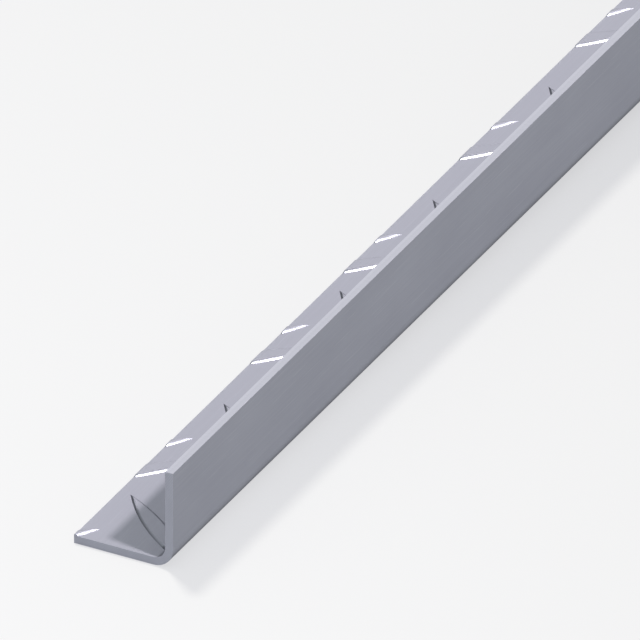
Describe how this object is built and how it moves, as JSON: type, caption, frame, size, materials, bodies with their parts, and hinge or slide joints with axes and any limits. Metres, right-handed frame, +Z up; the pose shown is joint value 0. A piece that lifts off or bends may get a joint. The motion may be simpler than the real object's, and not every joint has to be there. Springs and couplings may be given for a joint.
{
  "type": "metal angle section",
  "caption": "Equal-leg metal angle bent from tread plate: smooth outside with a rounded heel, raised lens-shaped bars in pairs on the inside, ends cut square.",
  "frame": {"origin": "on the underside of the horizontal leg, under the middle of the section's width and half way along its length", "axes": "+Z up from the horizontal leg towards the free edge of the vertical leg, +Y along the length, +X towards the outside face of the vertical leg"},
  "size_m": [0.025, 1, 0.025],
  "materials": {
    "aluminium": "mill finish, satin"
  },
  "bodies": {
    "root": {"angle_section": "aluminium"}
  },
  "joints": []
}
